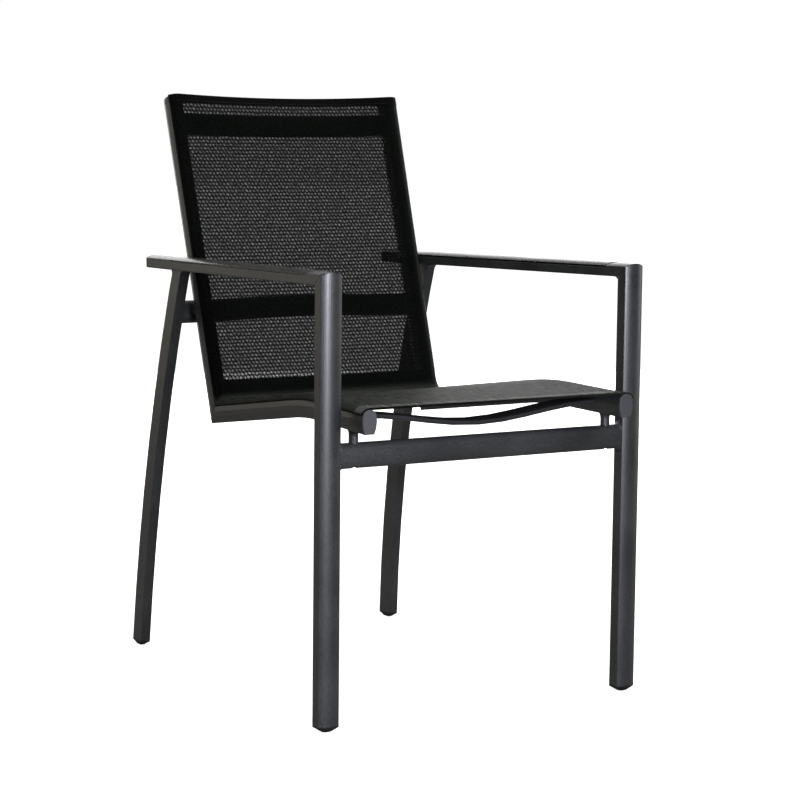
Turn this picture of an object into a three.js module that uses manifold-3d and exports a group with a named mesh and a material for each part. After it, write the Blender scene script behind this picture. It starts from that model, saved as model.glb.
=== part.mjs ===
// Stacking patio armchair: a tube frame with a sling stretched between extruded rails.
// X runs across the chair, Y from front to back, Z up. Only the x > 0 side is drawn;
// the other side is its mirror image.
import * as THREE from 'three';
import { mergeVertices } from 'three/addons/utils/BufferGeometryUtils.js';
import Module from 'manifold-3d';

const wasm = await Module();
wasm.setup();

// Driving sizes in millimetres. Depths are counted back from the front legs' front edge,
// heights up from the floor.
const frameWidth = 536.6;
const chairHeight = 875;
const armHeight = 627.5;
const armDrop = 7.3;
const armLength = 626;
const armToe = THREE.MathUtils.degToRad(3.5);

const legWidth = 32.2;
const legSide = 18.7;
const legCrown = 5;
const legRake = 4;
const armSide = 15.5;
const tubeWall = 1.8;
const tubeEdge = 2;
const cornerFillet = 8;

const rearLegWidth = 15.6;
const rearLegDepth = 37.4;
const rearFootDepth = 633;
const rearLegBow = 20.6;
const rearLegSplay = 17.4;
const rearLegTwist = THREE.MathUtils.degToRad(2.5);
const rearLegSetback = 3;

const glideHeight = 7.5;
const glideFlange = 1.2;
const frontTipShare = 0.4;
const rearTipShare = 0.45;
const tongueLength = 14;

const stripFrontGap = 46;
const stripRearGap = 102;
const stripSink = 2.6;
const stripInset = 0.5;
const stripProud = 0.6;
const stripGroove = 1.4;
const stripGrooveDepth = 2.2;
const armCapLength = 6;

const cornerDepth = 468;
const cornerHeight = 373.5;
const seatReach = 504;
const seatPitch = THREE.MathUtils.degToRad(7.9);
const noseRadius = 500;
const noseDepth = 112;
const nosePitch = THREE.MathUtils.degToRad(-1.9);
const backLean = THREE.MathUtils.degToRad(17.46);
const seatSideGap = 11.2;
const armJointGap = 2;
const stileSplay = 5;

const railHeight = 34;
const railFootWidth = 15;
const railWidth = 22.6;
const railCrownWidth = 19;
const railCrownRise = 4.5;
const railWall = 2;
const channelHeight = 26.5;
const channelOffset = 4.6;
const channelRadius = 4.1;
const slotWidth = 2.4;
const webHeight = 20.5;
const railCapLength = 3;
const stileCapLength = 1.4;
const capBevel = 0.9;

const slingThickness = 1.3;
const sleeveRadius = 2.95;
const splineRadius = 1.7;
const splineSetback = 9;
const seatSag = 4;
const backSag = 3;
const foldRise = 9;
const slingTopInset = 0.4;
const slingTopScoop = 4;
const hemDip = 5.5;

const crossRailHeight = 36;
const crossRailDepth = 18.3;
const weldFlare = 6;
const postHeight = 17.1;
const postRadius = 6.8;
const postFlare = 7;
const postFootInset = 0.4;
const rearRailHeight = 539.5;
const rearPostLength = 17;
const rearRailBow = 4;

const spreaderThickness = 12;
const spreaderHeight = 35;
const spreaderSetIn = 14;
const upperSpreaderDrop = 50;
const lowerSpreaderRise = 45;
const upperBow = 12;
const lowerBow = 8;
const seatSpreaderDepth = 40;
const seatSpreaderWidth = 44;
const seatSpreaderEndHeight = 15.5;
const seatSpreaderThickness = 8.5;
const seatSpreaderBow = 19.5;

const boltRadius = 3;
const boltHeadRadius = 5;
const boltHeadHeight = 3.6;
const boltSides = 12;
const driverRoom = 0.8;
const boltCatch = 5;
const spacerRadius = 6.4;
const armBoltSetIn = 11;

const fitGap = 0.3;
const overrun = 4;
const holeRadius = boltRadius + fitGap;

const point = (across, up) => new THREE.Vector2(across, up);
const at = (x, y, z) => new THREE.Vector3(x, y, z);
const axisX = at(1, 0, 0);
const axisY = at(0, 1, 0);
const axisZ = at(0, 0, 1);
const lerp = THREE.MathUtils.lerp;

// A ring sets a flat section in space: its across and up lengths run along two vectors.
function ring(section, origin, across, up) {
  const place = (p) => origin.clone().addScaledVector(across, p.x).addScaledVector(up, p.y);
  const flat = [section.outline, ...section.holes];
  return { flat, loops: flat.map((loop) => loop.map(place)) };
}

// A section's outline runs counter-clockwise and its holes clockwise.
const turned = (loop, clockwise) => (
  THREE.ShapeUtils.isClockWise(loop) === clockwise ? loop : [...loop].reverse());
const section = (outline, ...holes) => ({
  outline: turned(outline, false), holes: holes.map((hole) => turned(hole, true)),
});

// Triangles over the flat end of a ring, all facing along across x up.
function endTriangles(flat) {
  const points = flat.flat();
  return THREE.ShapeUtils.triangulateShape(flat[0], flat.slice(1)).map(([a, b, c]) => {
    const left = points[b].clone().sub(points[a]);
    const right = points[c].clone().sub(points[a]);
    return left.cross(right) > 0 ? [a, b, c] : [a, c, b];
  });
}

function signedVolume(points, faces) {
  return faces.reduce((sum, [a, b, c]) => {
    const normal = points[b].clone().cross(points[c]);
    return sum + points[a].dot(normal);
  }, 0);
}

// Skins a row of rings that share one point count, and closes both ends.
function loft(rings) {
  const points = [];
  const starts = rings.map(({ loops }) => loops.map((loop) => {
    points.push(...loop);
    return points.length - loop.length;
  }));
  const faces = [];
  for (let i = 1; i < rings.length; i += 1) {
    rings[i].loops.forEach((loop, k) => loop.forEach((_, j) => {
      const next = (j + 1) % loop.length;
      const low = starts[i - 1][k];
      const high = starts[i][k];
      faces.push([low + j, low + next, high + next], [low + j, high + next, high + j]);
    }));
  }
  const first = starts[0][0];
  const last = starts[rings.length - 1][0];
  endTriangles(rings[0].flat).forEach(([a, b, c]) => faces.push([first + a, first + c, first + b]));
  endTriangles(rings[rings.length - 1].flat)
    .forEach(([a, b, c]) => faces.push([last + a, last + b, last + c]));
  if (signedVolume(points, faces) < 0) faces.forEach((face) => face.reverse());
  const geometry = new THREE.BufferGeometry().setFromPoints(points);
  geometry.setIndex(faces.flat());
  return geometry;
}

function body(geometry) {
  const bare = geometry.clone();
  bare.deleteAttribute('normal');
  bare.deleteAttribute('uv');
  const welded = mergeVertices(bare);
  return new wasm.Manifold(new wasm.Mesh({
    numProp: 3,
    vertProperties: new Float32Array(welded.attributes.position.array),
    triVerts: new Uint32Array(welded.index.array),
  }));
}

function geometryOf(solid) {
  const mesh = solid.getMesh();
  const geometry = new THREE.BufferGeometry();
  geometry.setAttribute('position', new THREE.BufferAttribute(mesh.vertProperties, mesh.numProp));
  geometry.setIndex(new THREE.BufferAttribute(mesh.triVerts, 1));
  return geometry;
}

const cut = (base, ...tools) => geometryOf(
  tools.reduce((solid, tool) => solid.subtract(body(tool)), body(base)),
);

const join = (base, ...more) => geometryOf(
  more.reduce((solid, piece) => solid.add(body(piece)), body(base)),
);

// Flat outlines, all counter-clockwise.
function circle(radius, count) {
  return Array.from({ length: count }, (_, i) => {
    const turn = (2 * Math.PI * i) / count;
    return point(radius * Math.cos(turn), radius * Math.sin(turn));
  });
}

function oval(width, height, count, squareness = 2) {
  const soften = (value) => Math.sign(value) * Math.abs(value) ** (2 / squareness);
  return circle(1, count).map((p) => point((width / 2) * soften(p.x), (height / 2) * soften(p.y)));
}

function rectangle(left, right, low, high) {
  return [point(left, low), point(right, low), point(right, high), point(left, high)];
}

// Draws an outline in by one length on every side, about the middle of its box.
function shrink(outline, amount) {
  const box = new THREE.Box2().setFromPoints(outline);
  const middle = box.getCenter(new THREE.Vector2());
  const half = box.getSize(new THREE.Vector2()).divideScalar(2);
  return outline.map((p) => point(
    middle.x + (p.x - middle.x) * (1 - amount / half.x),
    middle.y + (p.y - middle.y) * (1 - amount / half.y),
  ));
}

const stretch = (outline, upShare) => outline.map((p) => point(p.x, p.y * upShare));

// A straight round body between two points, for bolts' holes.
function rod(start, end, radius, count = 12) {
  const along = end.clone().sub(start).normalize();
  const side = Math.abs(along.x) > Math.abs(along.y) ? axisY : axisX;
  const up = along.clone().cross(side).normalize();
  const across = up.clone().cross(along);
  const outline = section(circle(radius, count));
  return loft([ring(outline, start, across, up), ring(outline, end, across, up)]);
}

// Leg and arm section: flat back and sides, and a crowned front.
const crownSteps = 12;

function crownPoints(halfWidth, base, rise) {
  const radius = (halfWidth ** 2 + rise ** 2) / (2 * rise);
  const spread = Math.asin(halfWidth / radius);
  return Array.from({ length: crownSteps + 1 }, (_, i) => {
    const turn = spread * (1 - (2 * i) / crownSteps);
    return point(radius * Math.sin(turn), base + rise - radius * (1 - Math.cos(turn)));
  });
}

function crownedOutline(width, side, crown, edge) {
  const half = width / 2;
  const slack = edge * (1 - Math.SQRT1_2);
  return [
    point(-half + edge, 0), point(half - edge, 0), point(half - slack, slack), point(half, edge),
    ...crownPoints(half, side, crown),
    point(-half, edge), point(-half + slack, slack),
  ];
}

const legHollow = [
  point(-legWidth / 2 + tubeWall, tubeWall), point(legWidth / 2 - tubeWall, tubeWall),
  ...crownPoints(legWidth / 2 - tubeWall, legSide - tubeWall, legCrown),
];
const legOutline = crownedOutline(legWidth, legSide, legCrown, tubeEdge);
const armOutline = stretch(legOutline, armSide / legSide);
const armFloor = armSide - stripSink;
const armHollow = rectangle(
  -legWidth / 2 + tubeWall, legWidth / 2 - tubeWall, tubeWall, armFloor - tubeWall,
);

// Side frame, in its own group: X outwards, Y back along the arm, before the toe-in turn.
const stripEnds = [stripFrontGap, armLength - stripRearGap];
const armSlope = armDrop / armLength;
const armBack = at(0, 1, -armSlope).normalize();
const armUp = axisX.clone().cross(armBack);
const armUnderside = (depth) => armHeight - armSide - armSlope * (depth - legSide);
const legBottom = at(0, legSide + legRake, glideHeight);
const legInnerCorner = at(0, legSide, armUnderside(legSide));
const mitreRise = (armHeight - armUnderside(legSide)) / legSide;

function frontLeg() {
  const tube = section(legOutline, legHollow);
  const forward = axisY.clone().negate();
  const top = legInnerCorner.clone().addScaledVector(axisZ, -fitGap);
  const leg = loft([
    ring(tube, legBottom, axisX, forward),
    ring(tube, top, axisX, at(0, -1, mitreRise)),
  ]);
  return join(leg, cornerWeb());
}

// The filleted web under the mitre, behind the leg.
function cornerWeb() {
  const back = legSide - tubeWall / 2;
  const under = (depth) => armUnderside(depth) - fitGap;
  const steps = 5;
  const arc = Array.from({ length: steps + 1 }, (_, i) => {
    const turn = (Math.PI / 2) * (i / steps);
    const depth = legSide + cornerFillet * (1 - Math.sin(turn));
    const fall = cornerFillet * (1 - Math.cos(turn));
    return point(depth, under(legSide + cornerFillet) - fall);
  });
  const outline = section([
    point(back, under(back)), ...arc, point(back, arc[steps].y),
  ]);
  const half = legWidth / 2 - tubeEdge;
  return loft([-half, half].map((x) => ring(outline, at(x, 0, 0), axisY, axisZ)));
}

function armTube(boltHole) {
  const front = legInnerCorner.clone().addScaledVector(armBack, fitGap);
  const end = legInnerCorner.clone()
    .addScaledVector(armBack, armLength - armCapLength - legSide);
  const tube = section(armOutline, armHollow);
  const mitreUp = at(0, -1, mitreRise).divideScalar(mitreRise);
  const arm = loft([ring(tube, front, axisX, mitreUp), ring(tube, end, axisX, armUp)]);
  const crownTop = armSide + legCrown + overrun;
  const room = section(rectangle(-legWidth, legWidth, armFloor, crownTop));
  const recess = loft(stripEnds.map((depth) => armRing(room, depth)));
  return cut(arm, recess, boltHole);
}

function armRing(shape, depth) {
  const origin = legInnerCorner.clone().addScaledVector(armBack, depth - legSide);
  return ring(shape, origin, axisX, armUp);
}

function armStrip() {
  const half = legWidth / 2 - stripInset;
  const neck = half - stripGrooveDepth;
  const foot = armFloor + fitGap;
  const lip = armFloor + stripGroove;
  const crown = crownPoints(half, armSide, legCrown * (armSide / legSide) + stripProud);
  const outline = section([
    point(-half, lip), point(-neck, lip), point(-neck, foot),
    point(neck, foot), point(neck, lip), point(half, lip), ...crown,
  ]);
  const [front, rear] = stripEnds;
  return loft([armRing(outline, front + fitGap), armRing(outline, rear - fitGap)]);
}

function armEndCap() {
  const start = armLength - armCapLength;
  const face = shrink(armOutline, capBevel);
  const flange = loft([
    armRing(section(armOutline), start + fitGap),
    armRing(section(armOutline), armLength - capBevel),
    armRing(section(face), armLength),
  ]);
  const tongue = section(shrink(armHollow, fitGap));
  return join(flange, loft([
    armRing(tongue, start - tongueLength), armRing(tongue, start + armCapLength / 2),
  ]));
}

// Draws an outline in to a share of its size.
function taper(outline, share) {
  const middle = new THREE.Box2().setFromPoints(outline).getCenter(new THREE.Vector2());
  return outline.map((p) => p.clone().lerp(middle, 1 - share));
}

// A glide: a tongue in the tube, a flange under its wall and a tapered tip on the floor.
function glide(outline, hollow, origin, across, up, way, tipShare) {
  const level = (shape, height) => {
    const spot = origin.clone().addScaledVector(way, (height - glideHeight) / way.z);
    return ring(section(shape), spot, across, up);
  };
  const rim = glideHeight - fitGap;
  const foot = loft([
    level(taper(outline, tipShare), 0),
    level(taper(outline, (1 + tipShare) / 2), rim * tipShare),
    level(outline, rim - glideFlange),
    level(outline, rim),
  ]);
  const tongue = shrink(hollow, fitGap);
  return join(foot, loft([
    level(tongue, rim - glideFlange / 2), level(tongue, glideHeight + tongueLength),
  ]));
}

function frontGlide() {
  const forward = axisY.clone().negate();
  const way = legInnerCorner.clone().sub(legBottom);
  return glide(legOutline, legHollow, legBottom, axisX, forward, way, frontTipShare);
}

// Rear leg: flat front at up = 0, rounded back.
function rearLegOutline(width, depth, front) {
  const half = width / 2;
  const back = depth - half;
  const turns = 8;
  const round = Array.from({ length: turns + 1 }, (_, i) => {
    const turn = (Math.PI * i) / turns;
    return point(half * Math.cos(turn), back + half * Math.sin(turn));
  });
  return [point(-half, front), point(half, front), ...round];
}

const rearOutline = rearLegOutline(rearLegWidth, rearLegDepth, 0);
const rearHollow = rearLegOutline(
  rearLegWidth - 2 * tubeWall, rearLegDepth - tubeWall, tubeWall,
);

// Back stile line: its rear flat runs up from the corner, leaning back.
const stileUp = at(0, Math.sin(backLean), Math.cos(backLean));
const stileFace = at(0, -Math.cos(backLean), Math.sin(backLean));
const corner = at(0, cornerDepth, cornerHeight);
const stileDepthAt = (height) => cornerDepth + (height - cornerHeight) * Math.tan(backLean);

// The rear leg's front edge is a bowed curve from the foot up to the arm's underside.
const rearTopDepth = stileDepthAt(armUnderside(cornerDepth)) + rearLegSetback
  - rearLegDepth / Math.cos(backLean);
const rearTop = at(0, rearTopDepth, armUnderside(rearTopDepth) - fitGap);
const rearFoot = at(0, rearFootDepth, glideHeight);

function rearCurve() {
  const chord = rearTop.clone().sub(rearFoot);
  const sideways = axisX.clone().cross(chord).normalize().negate();
  const control = rearFoot.clone().add(rearTop).divideScalar(2)
    .addScaledVector(sideways, 2 * rearLegBow);
  return new THREE.QuadraticBezierCurve3(rearFoot, control, rearTop);
}

const rearPath = rearCurve();
const splayAt = (height) => rearLegSplay * (rearTop.z - height) / (rearTop.z - rearFoot.z);

function rearStation(height) {
  let low = 0;
  let high = 1;
  for (let i = 0; i < 40; i += 1) {
    const middle = (low + high) / 2;
    if (rearPath.getPoint(middle).z < height) low = middle;
    else high = middle;
  }
  const tangent = rearPath.getTangent(low);
  const spot = rearPath.getPoint(low).setX(splayAt(height));
  const twist = -rearLegTwist * splayAt(height) / rearLegSplay;
  const across = axisX.clone().applyAxisAngle(axisZ, twist);
  return { tangent, spot, across, twist };
}

const rearLevel = ({ tangent, twist }, slope) => at(0, 1, slope)
  .divideScalar(Math.cos(Math.atan2(-tangent.y, tangent.z))).applyAxisAngle(axisZ, twist);

function rearLeg() {
  const tube = section(rearOutline, rearHollow);
  const foot = rearStation(rearFoot.z);
  const rings = [ring(tube, foot.spot, foot.across, rearLevel(foot, 0))];
  const bends = 7;
  const clear = rearLegDepth + cornerFillet;
  for (let i = 1; i <= bends; i += 1) {
    const height = lerp(rearFoot.z, rearTop.z - clear, i / bends);
    const { tangent, spot, across } = rearStation(height);
    rings.push(ring(tube, spot, across, tangent.cross(across)));
  }
  const flares = 5;
  for (let i = 0; i <= flares; i += 1) {
    const turn = (Math.PI / 2) * (i / flares);
    const height = rearTop.z - cornerFillet * (1 - Math.sin(turn));
    const station = rearStation(height);
    const grow = cornerFillet * (1 - Math.cos(turn));
    const level = rearLevel(station, -armSlope);
    rings.push(ring(flaredRear(grow), station.spot, station.across, level));
  }
  return loft(rings);
}

// The leg spreads forward and back into its weld under the arm.
function flaredRear(grow) {
  const spread = (outline) => outline.map((p) => point(
    p.x, p.y + grow * (p.y < rearLegDepth / 2 ? -1 : 1),
  ));
  return section(spread(rearOutline), spread(rearHollow));
}

function rearGlide() {
  const foot = rearStation(rearFoot.z);
  const way = foot.tangent.clone()
    .setX(-foot.tangent.z * rearLegSplay / (rearTop.z - rearFoot.z));
  const level = rearLevel(foot, 0);
  return glide(rearOutline, rearHollow, foot.spot, foot.across, level, way, rearTipShare);
}

// Faces of the side frame seen from the middle of the chair.
const sidePosition = frameWidth / 2 - (legWidth / 2) * Math.cos(armToe);
const faceX = (across, depth) => sidePosition + across / Math.cos(armToe)
  - depth * Math.tan(armToe);

function toSide(p) {
  return p.clone().sub(at(sidePosition, 0, 0)).applyAxisAngle(axisZ, -armToe);
}

// Sling rail line: its underside runs forward from the corner, straight up to a bend and then
// straight down to the front end.
const noseStart = noseDepth + noseRadius * Math.sin(seatPitch);
const noseEnd = noseDepth + noseRadius * Math.sin(nosePitch);
const seatStraight = (cornerDepth - noseStart) / Math.cos(seatPitch);
const bendLength = noseRadius * (seatPitch - nosePitch);
const noseStraight = (noseEnd - cornerDepth + seatReach) / Math.cos(nosePitch);
const seatLength = seatStraight + bendLength + noseStraight;

function seatSpot(length) {
  const back = Math.min(length, seatStraight);
  const bent = THREE.MathUtils.clamp(length - seatStraight, 0, bendLength);
  const front = Math.max(0, length - seatStraight - bendLength);
  const slope = seatPitch - bent / noseRadius;
  const forward = back * Math.cos(seatPitch) + front * Math.cos(nosePitch)
    + noseRadius * (Math.sin(seatPitch) - Math.sin(slope));
  const rise = back * Math.sin(seatPitch) + front * Math.sin(nosePitch)
    + noseRadius * (Math.cos(slope) - Math.cos(seatPitch));
  return {
    spot: at(seatX(forward), cornerDepth - forward, cornerHeight + rise),
    face: at(0, Math.sin(slope), Math.cos(slope)),
    slope,
  };
}

function seatLengthAt(depth) {
  let low = 0;
  let high = seatLength;
  for (let i = 0; i < 40; i += 1) {
    const middle = (low + high) / 2;
    if (cornerDepth - seatSpot(middle).spot.y < cornerDepth - depth) low = middle;
    else high = middle;
  }
  return low;
}

// Where the arm bolt crosses the stile, half way up the arm's hollow.
const armBoltHeight = armUnderside(stileDepthAt(armUnderside(cornerDepth))) + armFloor / 2;
const armBoltLift = (armBoltHeight - cornerHeight - armBoltSetIn * stileFace.z) / stileUp.z;
const armBoltDepth = cornerDepth + armBoltLift * stileUp.y + armBoltSetIn * stileFace.y;
const armBoltShare = (armBoltHeight - cornerHeight) / (chairHeight - cornerHeight);
const boltX = faceX(-legWidth / 2, armBoltDepth) - armJointGap - railWidth / 2;
const stileX = boltX - stileSplay * armBoltShare;
const seatFrontX = faceX(-legWidth / 2, 0) - seatSideGap - railWidth / 2;
const seatTaper = (seatFrontX - stileX) / seatReach;

function seatX(forward) {
  return stileX + seatTaper * forward;
}

const stileLength = (chairHeight - cornerHeight - railHeight * stileFace.z) / stileUp.z
  - stileCapLength;
const stileWay = stileUp.clone().setX(stileSplay / stileLength);
const stileSpot = (length) => corner.clone().setX(stileX).addScaledVector(stileWay, length);
const cornerFace = stileFace.clone().add(seatSpot(0).face)
  .divideScalar(1 + stileFace.dot(seatSpot(0).face));

// Sling rail section: flat foot, bellied sides, crowned top, and on the outer side a narrow
// slot that opens into a round channel for the sling's edge.
const shoulder = railHeight - railCrownRise;

function railHalfWidth(height) {
  const share = height / shoulder;
  const belly = railWidth / 2 - (railFootWidth + railCrownWidth) / 4;
  return lerp(railFootWidth / 2, railCrownWidth / 2, share) + belly * 4 * share * (1 - share);
}

const railCrownSteps = 6;
const crownRadius = (railCrownWidth ** 2 / 4 + railCrownRise ** 2) / (2 * railCrownRise);
const crownSpread = Math.asin(railCrownWidth / 2 / crownRadius);
const crownCentre = railHeight - crownRadius;

function crownArc(radius) {
  return Array.from({ length: railCrownSteps + 1 }, (_, i) => {
    const turn = crownSpread * (1 - (2 * i) / railCrownSteps);
    return point(radius * Math.sin(turn), crownCentre + radius * Math.cos(turn));
  });
}

function channelPoints() {
  const mouth = Math.asin(slotWidth / 2 / channelRadius);
  const steps = 10;
  return Array.from({ length: steps + 1 }, (_, i) => {
    const turn = lerp(-mouth, mouth - 2 * Math.PI, i / steps);
    return point(
      channelOffset + channelRadius * Math.cos(turn), channelHeight + channelRadius * Math.sin(turn),
    );
  });
}

const bellyShares = [0.16, 0.36, 0.6];

function railOutline(withChannel) {
  const belly = bellyShares.map((share) => shoulder * share);
  const lips = [channelHeight - slotWidth / 2, channelHeight + slotWidth / 2];
  const outer = belly.map((height) => point(railHalfWidth(height), height));
  const inner = belly.map((height) => point(-railHalfWidth(height), height)).reverse();
  const channel = withChannel ? channelPoints() : [];
  return [
    point(-railFootWidth / 2, 0), point(railFootWidth / 2, 0), ...outer,
    point(railHalfWidth(lips[0]), lips[0]), ...channel, point(railHalfWidth(lips[1]), lips[1]),
    ...crownArc(crownRadius), point(-railHalfWidth(lips[0]), lips[0]), ...inner,
  ];
}

const webShares = [1 / 3, 2 / 3, 1];

function railHollow() {
  const levels = [railWall, ...webShares.map((share) => webHeight * share)];
  const outer = levels.map((height) => point(railHalfWidth(height) - railWall, height));
  const inner = [...outer].reverse().map((p) => point(-p.x, p.y));
  return [...outer, ...inner];
}

const railSection = section(railOutline(true), railHollow());

// Past this length along either rail a square cut clears the mitre.
const cornerReach = (railHeight + slingThickness + foldRise)
  * Math.tan(Math.acos(stileFace.dot(seatSpot(0).face)) / 2);

function seatLengths() {
  const bends = 5;
  const straights = [cornerReach, (cornerReach + seatStraight) / 2];
  const bend = Array.from({ length: bends + 1 }, (_, i) => seatStraight + bendLength * (i / bends));
  return [...straights, ...bend, seatLength];
}

function seatRail(boltHole) {
  const { spot: mitre, face: mitreFace } = seatSpot(0);
  const start = mitre.clone().addScaledVector(axisX.clone().cross(mitreFace), fitGap);
  const rings = seatLengths().map((length) => {
    const { spot, face } = seatSpot(length);
    return ring(railSection, spot, axisX, face);
  });
  return cut(loft([ring(railSection, start, axisX, cornerFace), ...rings]), boltHole);
}

function backStile(...boltHoles) {
  const start = stileSpot(0).addScaledVector(stileWay, fitGap);
  return cut(loft([
    ring(railSection, start, axisX, cornerFace),
    ring(railSection, stileSpot(stileLength), axisX, stileFace),
  ]), ...boltHoles);
}

// Plug in a sling rail's open end; outwards is the way out of the tube.
function railCap(end, face, outwards, length) {
  const plain = railOutline(false);
  const level = (outline, step) => ring(
    section(outline), end.clone().addScaledVector(outwards, step), axisX, face,
  );
  const flange = loft([
    level(plain, fitGap), level(plain, length - capBevel), level(shrink(plain, capBevel), length),
  ]);
  const tongue = shrink(railHollow(), 2 * fitGap);
  return join(flange, loft([level(tongue, -tongueLength), level(tongue, length / 2)]));
}

function seatRailCap() {
  const { spot, face } = seatSpot(seatLength);
  const outwards = at(seatTaper * face.z, -face.z, face.y);
  return railCap(spot, face, outwards, railCapLength);
}

const stileCap = () => railCap(stileSpot(stileLength), stileFace, stileWay, stileCapLength);

// Splines: round rods along the channel, one for each rail.
function spline(stations) {
  const outline = section(circle(splineRadius, 8));
  return loft(stations.map(({ spot, face }) => ring(
    outline,
    spot.clone().addScaledVector(axisX, channelOffset).addScaledVector(face, channelHeight),
    axisX, face,
  )));
}

function seatSpline() {
  const lengths = [channelHeight + splineSetback, ...seatLengths().slice(1)];
  lengths[lengths.length - 1] -= splineSetback;
  return spline(lengths.map(seatSpot));
}

function backSpline() {
  const ends = [channelHeight + splineSetback, stileLength - splineSetback];
  return spline(ends.map((length) => ({ spot: stileSpot(length), face: stileFace })));
}

// The sling's middle line for one ring, from one sleeve over both crowns to the other.
const clothLift = slingThickness / 2 + fitGap;
const spanShares = [0.8, 0.5, 0.25];

function slingMidline(halfSpan, lift) {
  const sleeve = Array.from({ length: 6 }, (_, i) => {
    const turn = (Math.PI / 3) * (5 - i);
    return point(
      channelOffset + sleeveRadius * Math.cos(turn), channelHeight + sleeveRadius * Math.sin(turn),
    );
  });
  const lip = point(railHalfWidth(channelHeight) + clothLift, channelHeight);
  const crown = crownArc(crownRadius + clothLift).slice(0, railCrownSteps / 2 + 1);
  const edge = [...sleeve, lip, ...crown].map((p) => point(halfSpan + p.x, p.y));
  const span = spanShares.map((share) => point(
    halfSpan * share, railHeight + clothLift + lift * (1 - share ** 2),
  ));
  const right = [...edge, ...span];
  const left = [...right].reverse().map((p) => point(-p.x, p.y));
  return [...right, point(0, railHeight + clothLift + lift), ...left];
}

// Thickens an open line into a closed outline.
function ribbon(line, thickness) {
  const offset = (side) => line.map((p, i) => {
    const before = line[Math.max(i - 1, 0)];
    const after = line[Math.min(i + 1, line.length - 1)];
    const entry = p.clone().sub(before).normalize();
    const exit = after.clone().sub(p).normalize();
    const way = entry.length() === 0 ? exit : entry;
    const leave = exit.length() === 0 ? entry : exit;
    const mean = way.clone().add(leave).normalize();
    const reach = (side * thickness) / 2 / mean.dot(way);
    return point(p.x - mean.y * reach, p.y + mean.x * reach);
  });
  return [...offset(-1), ...offset(1).reverse()];
}

function slingStations() {
  const swell = (share) => 4 * share * (1 - share);
  const seat = seatLengths().map((length) => ({
    ...seatSpot(length), lift: -seatSag * swell(length / seatLength),
  })).reverse();
  const top = stileLength - slingTopInset;
  const backSteps = 5;
  const back = Array.from({ length: backSteps + 1 }, (_, i) => {
    const length = lerp(cornerReach, top, i / backSteps);
    const place = { spot: stileSpot(length), face: stileFace };
    return i === backSteps ? { ...place, lift: -hemDip, scoop: slingTopScoop }
      : { ...place, lift: -backSag * swell(length / stileLength) };
  });
  const fold = { spot: corner.clone().setX(stileX), face: cornerFace, lift: foldRise };
  return [...seat, fold, ...back];
}

// The top edge is scooped: its middle ends lower than its sides.
function scooped(made, halfSpan, scoop) {
  made.loops.flat().forEach((p) => {
    const share = Math.min(Math.abs(p.x) / halfSpan, 1);
    p.addScaledVector(stileUp, -scoop * (1 - share ** 2));
  });
  return made;
}

function sling() {
  return loft(slingStations().map(({ spot, face, lift, scoop = 0 }) => {
    const outline = section(ribbon(slingMidline(spot.x, lift), slingThickness));
    return scooped(ring(outline, spot.clone().setX(0), axisX, face), spot.x, scoop);
  }));
}

// Cross rails run between the legs and spread into a weld at each end. A bowed one arches
// between the two posts that stand on it.
const crossSides = 20;
const crossSquareness = 2.4;
const crossOutline = oval(crossRailDepth, crossRailHeight, crossSides, crossSquareness);
const crossHollow = shrink(crossOutline, tubeWall);
const weldSteps = 4;
const archSteps = 6;

function crossRail({ centre, across, up, endX, bow, postX, holes }) {
  const tube = (share) => section(stretch(crossOutline, share), stretch(crossHollow, share));
  const weld = Array.from({ length: weldSteps + 1 }, (_, i) => {
    const turn = (Math.PI / 2) * (i / weldSteps);
    return { inset: weldFlare * (1 - Math.sin(turn)), grow: weldFlare * (1 - Math.cos(turn)) };
  });
  const end = (side, { inset, grow }) => {
    const slope = (way) => (endX(centre.clone().add(way)) - endX(centre)) * side;
    const place = centre.clone().setX(side * (endX(centre) - fitGap - inset));
    const lean = (way) => way.clone().setX(slope(way));
    return ring(tube(1 + (2 * grow) / crossRailHeight), place, lean(across), lean(up));
  };
  const arch = Array.from({ length: bow > 0 ? archSteps + 1 : 0 }, (_, i) => {
    const share = (2 * i) / archSteps - 1;
    const lift = (bow * (1 + Math.cos(Math.PI * share))) / 2;
    return ring(tube(1), centre.clone().setX(postX * share).addScaledVector(up, lift), across, up);
  });
  const rings = [
    ...[...weld].reverse().map((step) => end(-1, step)), ...arch,
    ...weld.map((step) => end(1, step)),
  ];
  return cut(loft(rings), ...holes);
}

// Centres and directions of the two cross rails.
const frontRailDepth = crossRailDepth / 2 + fitGap;
const postSeat = seatSpot(seatLengthAt(frontRailDepth));
const frontRailCentre = at(
  0, frontRailDepth, postSeat.spot.z - postHeight - crossRailHeight / 2,
);
const frontEndX = (p) => faceX(-legWidth / 2, p.y);
const rearRun = rearPostLength + crossRailDepth / 2;
const rearPostLift = (rearRailHeight + rearRun * stileFace.z - cornerHeight) / stileUp.z;
const rearPostSpot = stileSpot(rearPostLift);
const rearRailCentre = rearPostSpot.clone().addScaledVector(stileFace, -rearRun).setX(0);
const rearEndX = (p) => faceX(splayAt(p.z) - rearLegWidth / 2, p.y);

// A stand-off: local Z runs from the cross rail's centre to the sling rail's flat foot, where
// it spreads along the rail in a smooth curve.
const postSides = 16;
const postSteps = 4;

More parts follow.
